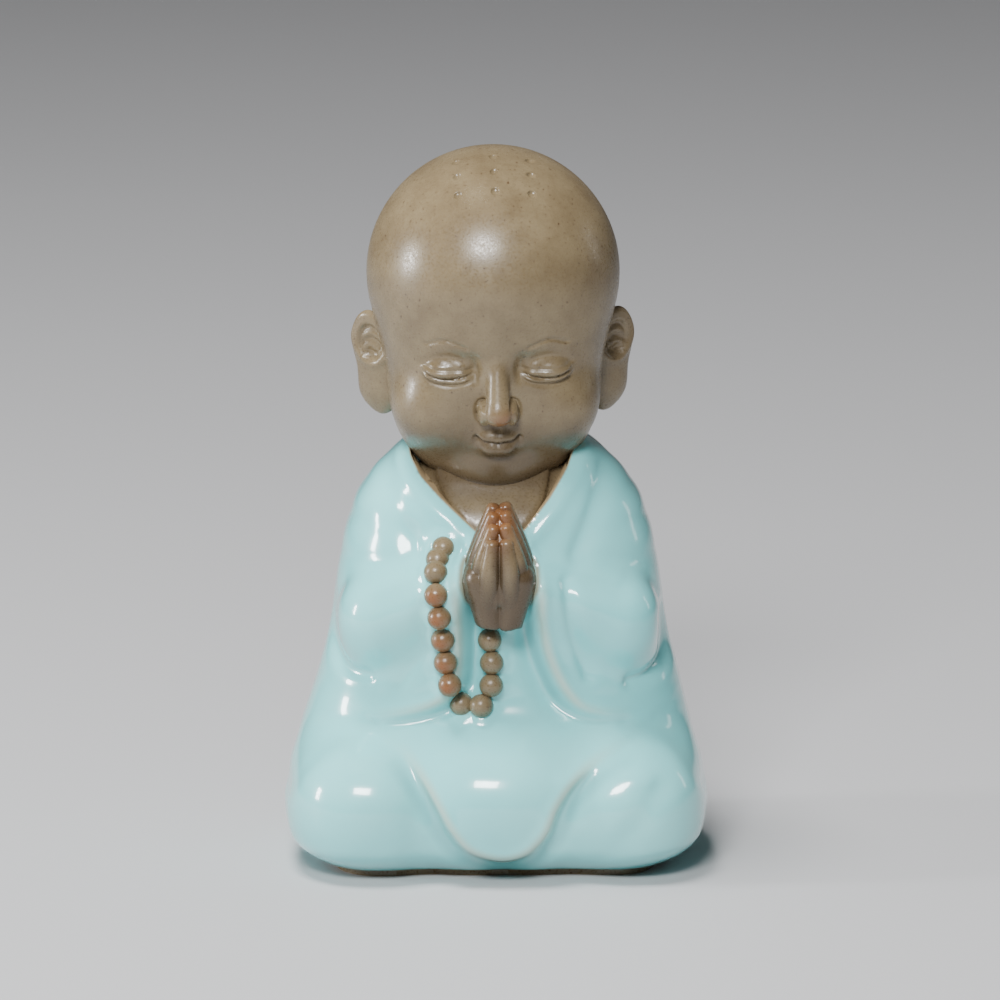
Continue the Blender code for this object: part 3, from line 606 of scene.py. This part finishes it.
# The wrists are cut off on a slight slope from a low point
WRIST_SLOPE = 0.12
WRIST_LOW = 2.0

# Rods of the heel of a hand, and behind and between its fingers: both ends, then the radius at each end
HAND_HEEL = ((3.5, -27.7, 63.4), (1.4, -28.0, 52.4), 4.1, 2.9)
HAND_CORE = (
    ((0.0, -27.5, 55.0), (0.0, -28.4, 73.0), 2.9, 1.8),
    ((3.6, -26.4, 62.0), (1.3, -27.2, 74.6), 4.2, 1.9),
    ((0.0, -29.3, 60.0), (0.0, -30.4, 70.6), 2.6, 1.7),
    ((0.0, -29.9, 70.0), (0.0, -27.4, 77.3), 2.0, 1.2),
)


def hand_field(points):
    """The heels of both hands, palm to palm, cut flat at the wrists."""
    x, y, z = points.T
    mirrored = np.column_stack([np.abs(x - HAND_CENTRE[0]), y, z])
    heel = limb(mirrored, *HAND_HEEL)
    core = np.min([limb(mirrored, *rod_of_core) for rod_of_core in HAND_CORE], axis=0)
    wrist = WRIST_HEIGHT + WRIST_SLOPE * np.abs(x - WRIST_LOW) - z
    return np.maximum(smooth_union(heel, core, 0.8), wrist)


def place_hands(angles, rows, up):
    """Rows up the joined heels of the hands, with the seam between them."""
    turned = crowd(angles, HAND_CROWDING)
    polar = math.pi * rows / up
    level = np.sin(polar)
    directions = np.column_stack([np.sin(turned) * level, -np.cos(turned) * level, -np.cos(polar)])
    directions *= HAND_SPREAD
    directions /= np.linalg.norm(directions, axis=1)[:, None]
    origins = np.tile(HAND_MIDDLE, (len(angles), 1))
    spots = cast(origins, directions, hand_field)
    seam = 0.35 * bump(spots[:, 0] - HAND_CENTRE[0], 0.45) * step(-spots[:, 1] - 28.0, 1.5)
    return spots - directions * seam[:, None]


# Routes of the four pairs of fingers, out from the seam of the palms, front pair first
FINGERS = (
    ((2.3, -29.0, 59.4), (2.1, -31.0, 65.4), (1.5, -31.2, 71.2)),
    ((4.4, -27.6, 60.6), (3.2, -29.6, 68.2), (1.4, -29.7, 74.2)),
    ((5.3, -25.6, 62.6), (3.4, -27.7, 70.4), (1.38, -28.0, 76.5)),
    ((5.3, -23.6, 64.0), (3.2, -25.4, 72.2), (1.36, -26.2, 77.9)),
)
FINGER_RADII = (2.7, 2.5, 2.2, 1.85, 1.55)
FINGERTIP_POWER = 2.6


def rod(route, radii):
    """Places rows along a rod with round ends that follows a smooth route."""
    route = smooth_path(route, 8)
    lengths = np.concatenate([[0.0], np.cumsum(np.linalg.norm(np.diff(route, axis=0), axis=1))])
    ahead = np.gradient(route, lengths, axis=0)

    def place(angles, rows, up):
        share = 0.5 * (1.0 - np.cos(math.pi * rows / up))
        run = -radii[0] + share * (lengths[-1] + radii[0] + radii[-1])
        inner = np.clip(run, 0.0, lengths[-1])
        past = run - inner
        radius = np.interp(inner, np.linspace(0.0, lengths[-1], len(radii)), radii)
        reach = np.maximum(radius ** FINGERTIP_POWER - np.abs(past) ** FINGERTIP_POWER, 0.0)
        reach = reach ** (1.0 / FINGERTIP_POWER)
        centre = np.column_stack([np.interp(inner, lengths, route[:, axis]) for axis in range(3)])
        tangent = np.column_stack([np.interp(inner, lengths, ahead[:, axis]) for axis in range(3)])
        tangent /= np.linalg.norm(tangent, axis=1)[:, None]
        across = np.cross(tangent, np.array([0.0, -1.0, 0.0]))
        across /= np.linalg.norm(across, axis=1)[:, None]
        forward = np.cross(across, tangent)
        return (centre + past[:, None] * tangent + (reach * np.sin(angles))[:, None] * across
                + (reach * np.cos(angles))[:, None] * forward)
    return place


def build_hands(clay):
    """The heels of the hands and four pairs of fingers that step up behind each other."""
    hands = add_object("hands", sphere_mesh("hands", HAND_FACETS, place_hands), clay)
    fingers = []
    for number, route in enumerate(FINGERS, start=1):
        for side in (-1.0, 1.0):
            points = [(HAND_CENTRE[0] + side * x, y, z + side * HAND_SHIFT) for x, y, z in route]
            name = f"finger_{number}_{'left' if side < 0 else 'right'}"
            finger = sphere_mesh(name, FINGER_FACETS, rod(points, FINGER_RADII))
            fingers.append(add_object(name, finger, clay))
    combine(hands, fingers, "UNION")
    return hands


def carved_robe_field(points):
    """The robe with its carving, for laying the beads on it."""
    return robe_field(points) - robe_relief(points)


def bead_centres():
    """Beads side by side along the string laid on the robe, the first ones tucked in."""
    radius = 0.5 * BEAD_DIAMETER
    route = smooth_path(BEAD_STRING, 8)
    origins = np.column_stack([route[:, 0], np.full(len(route), -8.0), route[:, 1]])
    path = cast(origins, np.tile([0.0, -1.0, 0.0], (len(route), 1)), carved_robe_field)
    seen = np.column_stack([path[:, 0], path[:, 2] + VIEW_SLOPE * path[:, 1]])
    lengths = np.concatenate([[0.0], np.cumsum(np.linalg.norm(np.diff(seen, axis=0), axis=1))])
    numbers = np.arange(BEAD_COUNT)
    tucked = np.minimum(numbers, TUCKED_BEADS)
    stops = TUCKED_SPACING * tucked + BEAD_SPACING * BEAD_DIAMETER * (numbers - tucked)
    centres = np.column_stack([np.interp(stops, lengths, path[:, axis]) for axis in range(3)])
    centres[:, 1] -= radius * (1.0 - BEAD_SINK - 0.35 * (TUCKED_BEADS - tucked))
    return centres


BEAD_CENTRES = bead_centres()


# Materials

def nodes_of(name):
    """A new material, its node tree and its shader."""
    material = bpy.data.materials.new(name)
    material.use_nodes = True
    tree = material.node_tree
    return material, tree, tree.nodes["Principled BSDF"]


def add(tree, kind, **values):
    """A node with its settings and socket values."""
    node = tree.nodes.new(kind)
    for key, value in values.items():
        if key in node.inputs:
            node.inputs[key].default_value = value
        else:
            setattr(node, key, value)
    return node


def noise(tree, scale, detail=4.0, roughness=0.5):
    """Noise over the piece in metres."""
    place = add(tree, "ShaderNodeTexCoord")
    texture = add(tree, "ShaderNodeTexNoise", Scale=scale, Detail=detail, Roughness=roughness)
    tree.links.new(place.outputs["Object"], texture.inputs["Vector"])
    return texture.outputs["Fac"]


def ramp(tree, source, low, high):
    """Maps a range of a value to 0 to 1."""
    node = add(tree, "ShaderNodeMapRange")
    node.inputs["From Min"].default_value = low
    node.inputs["From Max"].default_value = high
    tree.links.new(source, node.inputs["Value"])
    return node.outputs["Result"]


def attribute(tree, name):
    """A painted mask of the mesh."""
    return add(tree, "ShaderNodeAttribute", attribute_name=name).outputs["Fac"]


def mix(tree, factor, first, second):
    """Blends a colour into another one: each is a socket or a plain colour."""
    node = add(tree, "ShaderNodeMix", data_type="RGBA")
    for value, socket in ((factor, node.inputs[0]), (first, node.inputs[6]), (second, node.inputs[7])):
        if isinstance(value, (tuple, float)):
            socket.default_value = value
        else:
            tree.links.new(value, socket)
    return node.outputs[2]


def scaled(tree, source, amount):
    """A value times a number."""
    node = add(tree, "ShaderNodeMath", operation="MULTIPLY")
    tree.links.new(source, node.inputs[0])
    node.inputs[1].default_value = amount
    return node.outputs[0]


def ridge(tree, source, centre, width):
    """Rises to 1 where a value equals centre and falls to 0 a width away on both sides."""
    shift = add(tree, "ShaderNodeMath", operation="SUBTRACT")
    tree.links.new(source, shift.inputs[0])
    shift.inputs[1].default_value = centre
    size = add(tree, "ShaderNodeMath", operation="ABSOLUTE")
    tree.links.new(shift.outputs[0], size.inputs[0])
    fall = add(tree, "ShaderNodeMapRange", interpolation_type="SMOOTHSTEP")
    fall.inputs["From Min"].default_value = width
    fall.inputs["From Max"].default_value = 0.0
    tree.links.new(size.outputs[0], fall.inputs["Value"])
    return fall.outputs["Result"]


def times(tree, first, second):
    """One value times another."""
    node = add(tree, "ShaderNodeMath", operation="MULTIPLY")
    tree.links.new(first, node.inputs[0])
    tree.links.new(second, node.inputs[1])
    return node.outputs[0]


GLAZE_PALE = (0.275, 0.745, 0.75, 1)
GLAZE_BODY = (0.225, 0.69, 0.705, 1)
# Deeper glaze colour in the grooves: pooled glaze, with painted shade there too
GLAZE_POOLED_AND_SHADED = (0.13, 0.40, 0.42, 1)
GLAZE_THIN = (0.50, 0.53, 0.40, 1)
GLAZE_RIM = (0.26, 0.155, 0.055, 1)
GLAZE_EDGE = (0.34, 0.25, 0.14, 1)
CLAY_PALE = (0.205, 0.157, 0.088, 1)
CLAY_BODY = (0.145, 0.106, 0.057, 1)
CLAY_SPECK = (0.06, 0.032, 0.016, 1)
# Painted shade: the colour that darkens the hands' fronts and the neck under the chin
CLAY_PAINTED_SHADE = (0.055, 0.036, 0.019, 1)
CLAY_FLASH = (0.205, 0.074, 0.021, 1)


def celadon_glaze():
    """Milky blue-green glaze: beige where it runs thin, brown at its rims, and deeper in the grooves beside
    the hems and under the drape, as pooled glaze with painted shade.
    """
    material, tree, shader = nodes_of("celadon_glaze")
    body = mix(tree, ramp(tree, noise(tree, 35.0), 0.35, 0.65), GLAZE_BODY, GLAZE_PALE)
    hem = times(tree, ridge(tree, attribute(tree, "hem"), -0.9, 1.9), attribute(tree, "hem_shows"))
    drape = times(tree, ridge(tree, attribute(tree, "drape"), -0.6, 1.9), attribute(tree, "drape_shows"))
    # Deeper colour beside the hems and under the drape's lip: pooled glaze, with painted shade
    hem_pool_and_shade = times(tree, ridge(tree, attribute(tree, "hem"), 2.1, 2.0), attribute(tree, "hem_shows"))
    drape_pool_and_shade = times(tree, ridge(tree, attribute(tree, "drape"), 2.6, 2.4), attribute(tree, "drape_shows"))
    deep = mix(tree, scaled(tree, hem_pool_and_shade, 0.55), body, GLAZE_POOLED_AND_SHADED)
    deep = mix(tree, scaled(tree, drape_pool_and_shade, 0.45), deep, GLAZE_POOLED_AND_SHADED)
    thin = mix(tree, scaled(tree, hem, 0.55), deep, GLAZE_THIN)
    thin = mix(tree, scaled(tree, drape, 0.55), thin, GLAZE_THIN)
    rim = mix(tree, ridge(tree, attribute(tree, "collar"), 0.0, 0.5), thin, GLAZE_EDGE)
    rim = mix(tree, scaled(tree, ridge(tree, attribute(tree, "clay"), 0.0, 1.1), 0.75), rim, GLAZE_RIM)
    rim = mix(tree, ridge(tree, attribute(tree, "height"), FOOT_HEIGHT, 0.8), rim, GLAZE_RIM)
    tree.links.new(rim, shader.inputs["Base Color"])
    shader.inputs["Roughness"].default_value = 0.2
    shader.inputs["Coat Weight"].default_value = 0.8
    shader.inputs["Coat Roughness"].default_value = 0.04
    shader.inputs["Coat IOR"].default_value = 1.5
    ripple = add(tree, "ShaderNodeBump", Strength=0.25, Distance=0.0003)
    tree.links.new(noise(tree, 90.0, 2.0), ripple.inputs["Height"])
    tree.links.new(ripple.outputs["Normal"], shader.inputs["Normal"])
    return material


def bare_clay():
    """Fired taupe clay with dark specks, a satin skin, an orange flash where the flame caught it, and
    painted shade darkening the hands' fronts and the neck under the chin.
    """
    material, tree, shader = nodes_of("bare_clay")
    mottled = mix(tree, ramp(tree, noise(tree, 140.0, 6.0, 0.65), 0.32, 0.68), CLAY_BODY, CLAY_PALE)
    dust = ramp(tree, noise(tree, 1500.0, 2.0), 0.50, 0.70)
    fine = mix(tree, scaled(tree, dust, 0.15), mottled, CLAY_SPECK)
    dark = mix(tree, ramp(tree, noise(tree, 1500.0, 1.0), 0.71, 0.78), fine, CLAY_SPECK)
    # Painted shade over the hands' fronts and over the neck under the chin
    shaded_clay = mix(tree, attribute(tree, "smoke"), dark, CLAY_PAINTED_SHADE)
    flash = mix(tree, attribute(tree, "flash"), shaded_clay, CLAY_FLASH)
    tree.links.new(flash, shader.inputs["Base Color"])
    tree.links.new(ramp(tree, noise(tree, 1800.0), -0.05, 1.65), shader.inputs["Roughness"])
    shader.inputs["Specular IOR Level"].default_value = 0.6
    grain = add(tree, "ShaderNodeBump", Strength=0.22, Distance=0.00008)
    tree.links.new(noise(tree, 2400.0, 2.0), grain.inputs["Height"])
    tree.links.new(grain.outputs["Normal"], shader.inputs["Normal"])
    return material


# Building

def add_object(name, mesh, material):
    """Puts a mesh in the scene with its material."""
    mesh.materials.append(material)
    mesh.shade_smooth()
    item = bpy.data.objects.new(name, mesh)
    bpy.context.scene.collection.objects.link(item)
    return item


def ball(name, facets, radius, centre):
    """A small ball about a point of the layout."""
    shape = bmesh.new()
    bmesh.ops.create_uvsphere(shape, u_segments=facets[0], v_segments=facets[1], radius=radius * UNIT)
    bmesh.ops.translate(shape, verts=list(shape.verts), vec=[value * UNIT for value in centre])
    mesh = bpy.data.meshes.new(name)
    shape.to_mesh(mesh)
    shape.free()
    return mesh


def collar_cutter():
    """A prism whose lower edges are the two sides of the open collar, in front of the neck."""
    shape = bmesh.new()
    sides = len(COLLAR_OUTLINE)
    bmesh.ops.create_cone(shape, cap_ends=True, segments=sides, radius1=1.0, radius2=1.0, depth=2.0)
    for vert in shape.verts:
        turn = math.atan2(vert.co.y, vert.co.x) / (2.0 * math.pi)
        x, z = COLLAR_OUTLINE[round(turn * sides) % sides]
        y = -2.0 if vert.co.z > 0.0 else -45.0
        vert.co = [value * UNIT for value in (x, y, z)]
    bmesh.ops.recalc_face_normals(shape, faces=list(shape.faces))
    mesh = bpy.data.meshes.new("collar_opening")
    shape.to_mesh(mesh)
    shape.free()
    return mesh


def combine(target, items, operation):
    """Joins forms to the statue, or cuts them away, and drops the forms."""
    group = bpy.data.collections.new("forms")
    for item in items:
        group.objects.link(item)
    change = target.modifiers.new("join", "BOOLEAN")
    change.operation = operation
    change.solver = "MANIFOLD"
    change.operand_type = "COLLECTION"
    change.collection = group
    change.material_mode = "TRANSFER"
    graph = bpy.context.evaluated_depsgraph_get()
    joined = bpy.data.meshes.new_from_object(target.evaluated_get(graph))
    target.modifiers.clear()
    old = target.data
    target.data = joined
    bpy.data.meshes.remove(old)
    for item in items:
        bpy.data.objects.remove(item)
    bpy.data.collections.remove(group)


# Where the flame left the clay orange: the nose in the head's frame, the fingertips, and some of the beads
NOSE_FLASH = np.array([0.9, -30.4, -20.0])
FINGERTIP_FLASH = np.array([0.7, -29.5, 76.0])
FINGERTIP_REACH = np.array([4.0, 5.0, 5.2])
BEAD_FLASH = np.array([-0.7, -2.0, -0.6])
FLASHED_BEADS = range(3, 8)

# Edges sharper than this stay crisp
JOIN_CREASE = math.radians(75.0)


def paint(statue):
    """Writes what the materials read: distances in layout units, the clay's orange flashes, and painted
    shade on the hands' fronts and on the neck under the chin.
    """
    mesh = statue.data
    spots = np.empty(len(mesh.vertices) * 3)
    mesh.vertices.foreach_get("co", spots)
    spots = spots.reshape(-1, 3) / UNIT
    x, y, z = spots.T
    front = step(-y - 8.0, 5.0)
    on_front = step(-y - 2.0, 3.0)
    head = to_head(spots)
    flash = 0.9 * bump(np.linalg.norm(head - NOSE_FLASH, axis=1), 2.1)
    hands = np.linalg.norm((spots - FINGERTIP_FLASH) / FINGERTIP_REACH, axis=1)
    flash += 0.72 * bump(hands, 1.0) * step(z - 66.0, 5.0)
    beside_hands = np.abs(x - HAND_CENTRE[0]) - profile(z, HAND_HEIGHTS, HAND_HALF_WIDTHS)
    beside_hands = np.maximum(beside_hands, np.abs(z - 64.0) - 3.0) - 0.1
    clay_gap = np.minimum(hand_field(spots), np.where(on_front > 0.5, beside_hands, 9.0))
    # Painted shade: darkens the fronts of the hands, and the neck where the chin's shadow falls
    smoke = 0.85 * step(1.2 - hand_field(spots), 1.0)
    smoke += 0.6 * step(inside_collar(spots), 1.0) * step(z - 79.0, 3.0) * step(-24.0 - head[:, 2], 4.0)
    for number, centre in enumerate(BEAD_CENTRES):
        away = np.linalg.norm(spots - centre, axis=1)
        if number in FLASHED_BEADS:
            flash += 1.05 * bump(np.linalg.norm(spots - centre - BEAD_FLASH, axis=1), 1.9)
        clay_gap = np.minimum(clay_gap, away - 0.5 * BEAD_DIAMETER + 0.9)
    values = {
        "hem": belly_gap_at(x, z),
        "hem_shows": front * step(z - 35.0, 3.0) * step(62.0 - z, 4.0) * step(25.0 - np.abs(x), 5.0),
        "drape": beside(x, z, DRAPE_EDGE),
        "drape_shows": front * step(25.0 - z, 5.0),
        "collar": np.where(on_front > 0.5, inside_collar(spots), -9.0),
        "clay": clay_gap,
        "height": z,
        "flash": np.clip(flash, 0.0, 1.0),
        "smoke": np.clip(smoke, 0.0, 1.0) * on_front,
    }
    for name, value in values.items():
        layer = mesh.attributes.new(name, "FLOAT", "POINT")
        layer.data.foreach_set("value", value.astype(np.float32))


def build_head(clay):
    """The head with its dimples pressed in and both ears on."""
    head = add_object("head", sphere_mesh("head", HEAD_FACETS, place_head), clay)
    radius, centres = dimple_cutters()
    marks = [add_object(f"dimple_{number}", ball(f"dimple_{number}", DIMPLE_FACETS, radius, centre), clay)
             for number, centre in enumerate(centres, start=1)]
    combine(head, marks, "DIFFERENCE")
    ears = [add_object(name, sphere_mesh(name, EAR_FACETS, place_ear(side)), clay)
            for name, side in (("left_ear", -1.0), ("right_ear", 1.0))]
    combine(head, ears, "UNION")
    return head


def build_statue():
    """Makes every form at full detail and joins them into one fired body."""
    glaze = celadon_glaze()
    clay = bare_clay()
    robe = sphere_mesh("robe", ROBE_FACETS, layered_form(robe_outside, robe_levels))
    statue = add_object("monk_statue_fired", robe, glaze)
    foot = sphere_mesh("foot", (ROBE_FACETS[0], FOOT_RINGS), layered_form(foot_outside, foot_levels))
    chest = sphere_mesh("chest", CHEST_FACETS, layered_form(chest_outside, chest_levels))
    combine(statue, [add_object("collar_opening", collar_cutter(), glaze)], "DIFFERENCE")
    combine(statue, [add_object("foot", foot, clay)], "UNION")
    combine(statue, [add_object("chest", chest, clay)], "UNION")
    head = build_head(clay)
    combine(statue, [head], "UNION")
    fronts = [build_hands(clay)]
    for number, centre in enumerate(BEAD_CENTRES, start=1):
        bead = ball(f"bead_{number:02d}", BEAD_FACETS, 0.5 * BEAD_DIAMETER, centre)
        fronts.append(add_object(bead.name, bead, clay))
    combine(statue, fronts, "UNION")
    statue.data.set_sharp_from_angle(angle=JOIN_CREASE)
    paint(statue)
    return statue


# Floor, light and camera

def plain_material(name, colour, roughness):
    """A plain surface for the floor, with a trace of tone in it."""
    material, tree, shader = nodes_of(name)
    tone = mix(tree, noise(tree, 3.0), colour, tuple(0.97 * channel for channel in colour[:3]) + (1,))
    tree.links.new(tone, shader.inputs["Base Color"])
    shader.inputs["Roughness"].default_value = roughness
    return material


FLOOR_NEAR = -2.0
FLOOR_BEND = 2.4
FLOOR_RADIUS = 0.6
FLOOR_TOP = 2.4
FLOOR_HALF_WIDTH = 3.5
FLOOR_STEPS = 24
FLOOR_GREY = (0.52, 0.52, 0.53, 1)


def build_floor():
    """A wide pale floor that curves up behind the figure."""
    quarter = 0.5 * math.pi
    outline = [(FLOOR_NEAR, 0.0)]
    for number in range(FLOOR_STEPS + 1):
        turn = quarter * number / FLOOR_STEPS
        outline.append((FLOOR_BEND + FLOOR_RADIUS * math.sin(turn), FLOOR_RADIUS * (1.0 - math.cos(turn))))
    outline.append((FLOOR_BEND + FLOOR_RADIUS, FLOOR_TOP))
    shape = bmesh.new()
    bmesh.ops.create_grid(shape, x_segments=1, y_segments=len(outline) - 1, size=1.0)
    for vert in shape.verts:
        y, z = outline[round(0.5 * (vert.co.y + 1.0) * (len(outline) - 1))]
        vert.co = (FLOOR_HALF_WIDTH * vert.co.x, y, z)
    mesh = bpy.data.meshes.new("floor")
    shape.to_mesh(mesh)
    shape.free()
    mesh.shade_smooth()
    floor = bpy.data.objects.new("floor", mesh)
    mesh.materials.append(plain_material("pale_floor", FLOOR_GREY, 0.7))
    bpy.context.scene.collection.objects.link(floor)


def aim(item, target):
    """Points a lamp or camera at a place."""
    item.rotation_euler = (Vector(target) - item.location).to_track_quat("-Z", "Y").to_euler()


LAMP_TARGET = (0.0, 0.0, 0.08)


def softbox(name, place, size, power):
    """A rectangular lamp that faces the figure."""
    lamp = bpy.data.lights.new(name, "AREA")
    lamp.shape = "RECTANGLE"
    lamp.size, lamp.size_y = size
    lamp.energy = power
    item = bpy.data.objects.new(name, lamp)
    bpy.context.scene.collection.objects.link(item)
    item.location = place
    aim(item, LAMP_TARGET)
    return item


CAMERA_DISTANCE = 2.0
CAMERA_LENS = 344.5
CAMERA_TARGET = Vector((0.00084, 0.0, 0.0744))


def build_camera():
    """The photograph's view: aimed at the figure's middle from a little above it."""
    lens = bpy.data.cameras.new("camera")
    lens.lens = CAMERA_LENS
    lens.sensor_width = 36.0
    camera = bpy.data.objects.new("camera", lens)
    bpy.context.scene.collection.objects.link(camera)
    back = Vector((0.0, -math.cos(CAMERA_ELEVATION), math.sin(CAMERA_ELEVATION)))
    camera.location = CAMERA_TARGET + back * CAMERA_DISTANCE
    aim(camera, CAMERA_TARGET)
    bpy.context.scene.camera = camera


def build_light():
    """Soft studio light: a fill overhead, a box in front, a strip at each side, weak on the right."""
    overhead = softbox("overhead", (-0.22, -0.10, 1.12), (0.42, 0.32), 16.0)
    overhead.visible_glossy = False
    softbox("window_front", (-0.14, -0.78, 0.62), (0.28, 0.20), 10.5)
    softbox("strip_left", (-0.97, -0.12, 0.27), (0.12, 0.26), 6.5)
    softbox("rim_right", (0.85, 0.30, 0.30), (0.10, 0.30), 0.25)
    world = bpy.data.worlds.new("studio")
    bpy.context.scene.world = world
    world.use_nodes = True
    sky = world.node_tree.nodes["Background"]
    sky.inputs["Color"].default_value = (0.80, 0.81, 0.83, 1)
    sky.inputs["Strength"].default_value = 0.09


statue = build_statue()
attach(statue, "root")
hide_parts("monk_statue")
build_floor()
build_light()
build_camera()
